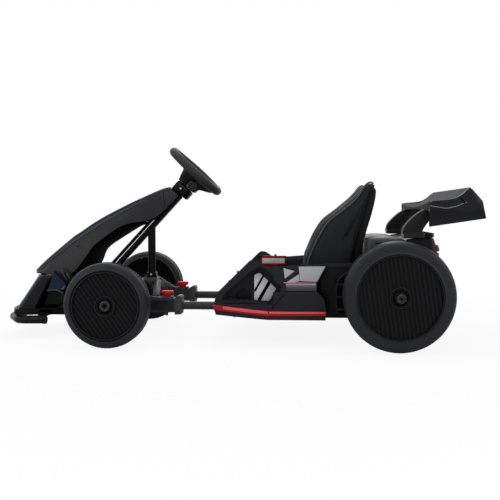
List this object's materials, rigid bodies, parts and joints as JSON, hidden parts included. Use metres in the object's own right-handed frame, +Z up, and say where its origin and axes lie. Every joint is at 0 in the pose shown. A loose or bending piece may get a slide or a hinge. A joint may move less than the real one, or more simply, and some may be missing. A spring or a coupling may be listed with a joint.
{
  "type": "electric ride-on drift kart",
  "caption": "Low electric drift kart for a child: dished wheels, sloping hood, tilted steering wheel, bucket seat between side pods, rear wing.",
  "frame": {"origin": "on the floor under the middle of the kart's bounding box", "axes": "+X forward, +Y to the kart's left, +Z up"},
  "size_m": [1.368, 0.736, 0.5621],
  "materials": {
    "tyre_plastic": "satin moulded",
    "rim_black": "ribbed satin",
    "frame_black": "satin powder coat",
    "body_satin": "fine satin",
    "body_gloss": "gloss",
    "lens_dark": "gloss tinted",
    "red_plastic": "satin gloss",
    "panel_grey": "satin",
    "seat_soft": "soft grain",
    "seat_hard": "satin",
    "tube_steel": "semi gloss",
    "deck_grey": "satin",
    "battery_grey": "plain"
  },
  "bodies": {
    "chassis": {"floor_pan": "body_satin", "telescopic_tubes": "tube_steel", "pod_left": "body_satin", "pod_right": "body_satin", "sill_stripes": "red_plastic", "control_frame": "red_plastic", "control_face": "panel_grey", "battery": "battery_grey", "seat_shell": "seat_hard", "seat_back_pad": "seat_soft", "seat_squab_pad": "seat_soft", "rear_body": "body_satin", "rear_deck": "deck_grey", "tail_lamp": "red_plastic", "side_grilles": "rim_black", "rear_drives": "rim_black", "wing_legs": "body_satin", "wing_blade": "body_gloss", "wing_end_plates": "body_gloss"},
    "front_section": {"front_axle_beam": "frame_black", "tube_sockets": "body_satin", "column_frame": "frame_black", "column_head": "body_satin", "clamp_latches": "red_plastic", "bumper_tube": "tube_steel", "front_rails": "frame_black", "nose_lower": "body_gloss", "hood": "body_satin", "hood_liner": "rim_black", "side_lenses": "lens_dark", "side_brackets": "rim_black", "foot_pedals": "rim_black"},
    "knuckle_left": {"knuckle_left": "frame_black"},
    "knuckle_right": {"knuckle_right": "frame_black"},
    "track_rod": {"track_rod": "frame_black"},
    "steering": {"steering_shaft": "frame_black", "steering_wheel": "body_satin"},
    "wheel_front_left": {"tyre_front_left": "tyre_plastic", "rim_front_left": "rim_black"},
    "wheel_front_right": {"tyre_front_right": "tyre_plastic", "rim_front_right": "rim_black"},
    "wheel_rear_left": {"tyre_rear_left": "tyre_plastic", "rim_rear_left": "rim_black"},
    "wheel_rear_right": {"tyre_rear_right": "tyre_plastic", "rim_rear_right": "rim_black"}
  },
  "joints": [
    {"name": "frame_length_adjust", "type": "slide", "parent": "chassis", "child": "front_section", "axis": [1, 0, 0], "range_m": [-0.04, 0.05]},
    {"name": "steering_turn", "type": "hinge", "parent": "front_section", "child": "steering", "pos_m": [0.107, 0, 0.484], "axis": [-0.6769, 0, 0.7361], "range_deg": [-40, 40]},
    {"name": "knuckle_left_turn", "type": "hinge", "parent": "front_section", "child": "knuckle_left", "pos_m": [0.306, 0.228, 0.1145], "axis": [0, 0, 1], "range_deg": [-25, 25]},
    {"name": "knuckle_right_turn", "type": "hinge", "parent": "front_section", "child": "knuckle_right", "pos_m": [0.306, -0.228, 0.1145], "axis": [0, 0, 1], "range_deg": [-25, 25]},
    {"name": "track_rod_slide", "type": "slide", "parent": "front_section", "child": "track_rod", "axis": [0, 1, 0], "range_m": [-0.026, 0.026]},
    {"name": "wheel_front_left_spin", "type": "hinge", "parent": "knuckle_left", "child": "wheel_front_left", "pos_m": [0.306, 0.291, 0.1145], "axis": [0, 1, 0], "continuous": true},
    {"name": "wheel_front_right_spin", "type": "hinge", "parent": "knuckle_right", "child": "wheel_front_right", "pos_m": [0.306, -0.291, 0.1145], "axis": [0, 1, 0], "continuous": true},
    {"name": "wheel_rear_left_spin", "type": "hinge", "parent": "chassis", "child": "wheel_rear_left", "pos_m": [-0.464, 0.3, 0.144], "axis": [0, 1, 0], "continuous": true},
    {"name": "wheel_rear_right_spin", "type": "hinge", "parent": "chassis", "child": "wheel_rear_right", "pos_m": [-0.464, -0.3, 0.144], "axis": [0, 1, 0], "continuous": true}
  ],
  "couplings": [
    {"joint": "knuckle_left_turn", "follows": "steering_turn", "ratio": 0.6},
    {"joint": "knuckle_right_turn", "follows": "steering_turn", "ratio": 0.6},
    {"joint": "track_rod_slide", "follows": "steering_turn", "m_per_rad": -0.036}
  ]
}
